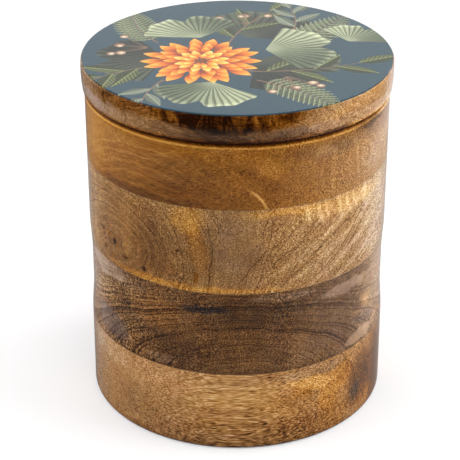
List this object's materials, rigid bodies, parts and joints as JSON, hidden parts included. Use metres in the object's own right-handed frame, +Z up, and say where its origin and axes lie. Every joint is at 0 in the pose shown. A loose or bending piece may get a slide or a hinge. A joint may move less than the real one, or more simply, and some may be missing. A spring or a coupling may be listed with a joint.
{
  "type": "wooden storage jar",
  "caption": "Round wooden kitchen canister of glued and turned boards, with a flat lift-off lid that has a sealed plug and a printed, clear-coated top.",
  "frame": {"origin": "middle of the flat face that the jar stands on", "axes": "+Z up along the axis that the jar is turned about, -Y towards the front of the picture, +X to its right"},
  "size_m": [0.1324, 0.1324, 0.1566],
  "materials": {
    "base_wood": "golden tan mango wood under gloss lacquer",
    "lower_wood": "dark walnut-coloured mango wood under gloss lacquer",
    "upper_wood": "grey-brown to golden mango wood under gloss lacquer",
    "rim_wood": "amber-brown mango wood under gloss lacquer",
    "lid_wood": "figured dark and golden mango wood under gloss lacquer",
    "glue": "cured wood glue",
    "silicone": "milky soft silicone",
    "print": "matt multicolour print of plants on a slate-blue ground",
    "clear_resin": "clear, hard, high gloss"
  },
  "bodies": {
    "jar": {"base_board": "base_wood", "lower_board": "lower_wood", "upper_board": "upper_wood", "rim_board": "rim_wood", "glue_films": "glue"},
    "seal": {"lid_seal": "silicone"},
    "lid": {"lid_board": "lid_wood", "lid_print": "print", "clear_coat": "clear_resin"}
  },
  "joints": [
    {"name": "lid_lift", "type": "slide", "parent": "jar", "child": "seal", "axis": [0, 0, 1], "range_m": [0, 0.125]},
    {"name": "lid_turn", "type": "hinge", "parent": "seal", "child": "lid", "pos_m": [0, 0, 0.1433], "axis": [0, 0, 1], "continuous": true}
  ]
}
